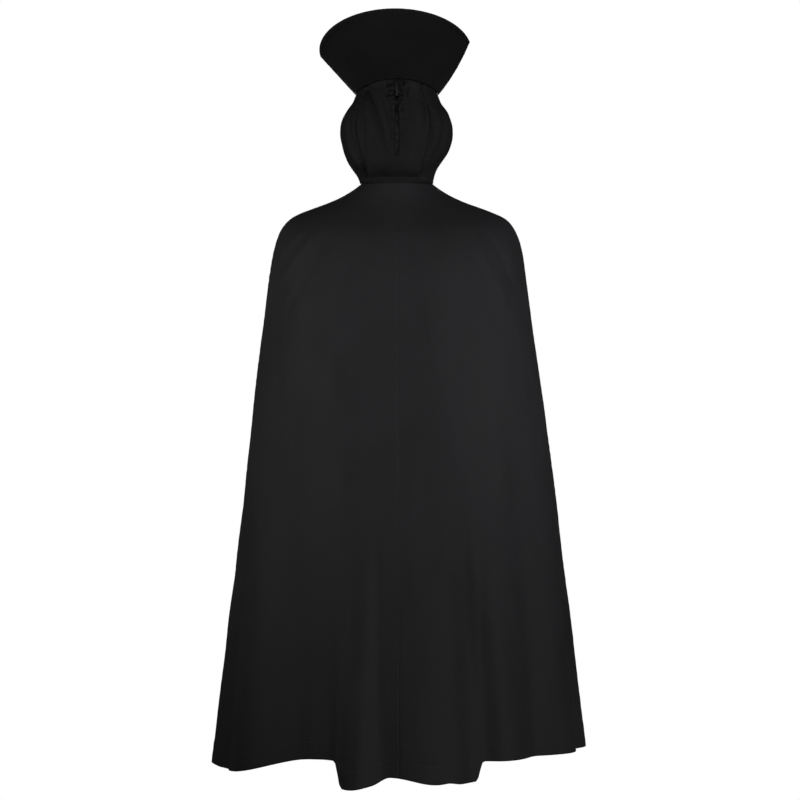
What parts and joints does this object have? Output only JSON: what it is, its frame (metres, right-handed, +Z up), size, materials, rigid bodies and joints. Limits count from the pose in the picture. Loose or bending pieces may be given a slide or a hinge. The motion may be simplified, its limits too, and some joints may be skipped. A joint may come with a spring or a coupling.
{
  "type": "hooded cape",
  "caption": "Long black satin cape with a close-fitting cowl hood that zips at the back, a stiffened fan collar round the crown and an open front that swings apart.",
  "frame": {"origin": "centre of the neckband, level with the neck seam", "axes": "+Z up along the wearer's neck, +Y towards the wearer's front, +X towards the wearer's right; the pictured back faces -Y"},
  "size_m": [0.7269, 0.5241, 1.4405],
  "materials": {
    "satin": "black satin",
    "lining": "matt black cotton facing",
    "stiffener": "stiff black buckram",
    "stay": "flat plastic boning",
    "wire": "spring steel wire",
    "tape": "woven zip tape",
    "zip_metal": "black enamelled metal"
  },
  "bodies": {
    "cape": {"back_panel_left": "satin", "back_panel_right": "satin", "front_panel_left": "satin", "front_panel_right": "satin", "hem_facing_left": "lining", "hem_facing_right": "lining", "chest_facing_left": "lining", "chest_facing_right": "lining", "neckband": "satin", "press_stud": "zip_metal"},
    "front_left": {"front_drop_left": "satin", "front_facing_left": "lining", "front_hem_facing_left": "lining"},
    "front_right": {"front_drop_right": "satin", "front_facing_right": "lining", "front_hem_facing_right": "lining"},
    "neck_tab": {"neck_tab": "satin", "press_socket": "zip_metal"},
    "cowl": {"cowl_back_left": "satin", "cowl_back_right": "satin", "cowl_side_left": "satin", "cowl_side_right": "satin", "cowl_crown": "satin", "head_band": "lining", "face_piping": "satin", "fan_shell": "satin", "fan_interlining": "stiffener", "fan_facing": "lining", "fan_stays": "stay", "fan_wire": "wire", "fan_binding": "satin", "zip_tape_left": "tape", "zip_tape_right": "tape", "zip_teeth_left": "zip_metal", "zip_teeth_right": "zip_metal", "zip_end_stop": "zip_metal"},
    "zip_slider": {"zip_slider": "zip_metal"},
    "zip_pull": {"zip_pull": "zip_metal"}
  },
  "joints": [
    {"name": "cowl_tip", "type": "hinge", "parent": "cape", "child": "cowl", "pos_m": [0, -0.07, 0], "axis": [1, 0, 0], "range_deg": [0, 35]},
    {"name": "front_left_swing", "type": "hinge", "parent": "cape", "child": "front_left", "pos_m": [-0.1896, 0.09848, -0.24942], "axis": [0.1173, -0.0511, 0.9918], "range_deg": [0, 55]},
    {"name": "front_right_swing", "type": "hinge", "parent": "cape", "child": "front_right", "pos_m": [0.19441, 0.0984, -0.24749], "axis": [0.1248, 0.0513, -0.9909], "range_deg": [0, 55]},
    {"name": "neck_tab_open", "type": "hinge", "parent": "cape", "child": "neck_tab", "pos_m": [0.02084, 0.06923, 0.006], "axis": [0, 0, -1], "range_deg": [0, 100]},
    {"name": "zip_slide", "type": "slide", "parent": "cowl", "child": "zip_slider", "axis": [0, 0, -1], "range_m": [0, 0.122]},
    {"name": "zip_pull_flip", "type": "hinge", "parent": "zip_slider", "child": "zip_pull", "pos_m": [0, -0.0974, 0.177], "axis": [-1, 0, 0], "range_deg": [0, 140]}
  ]
}
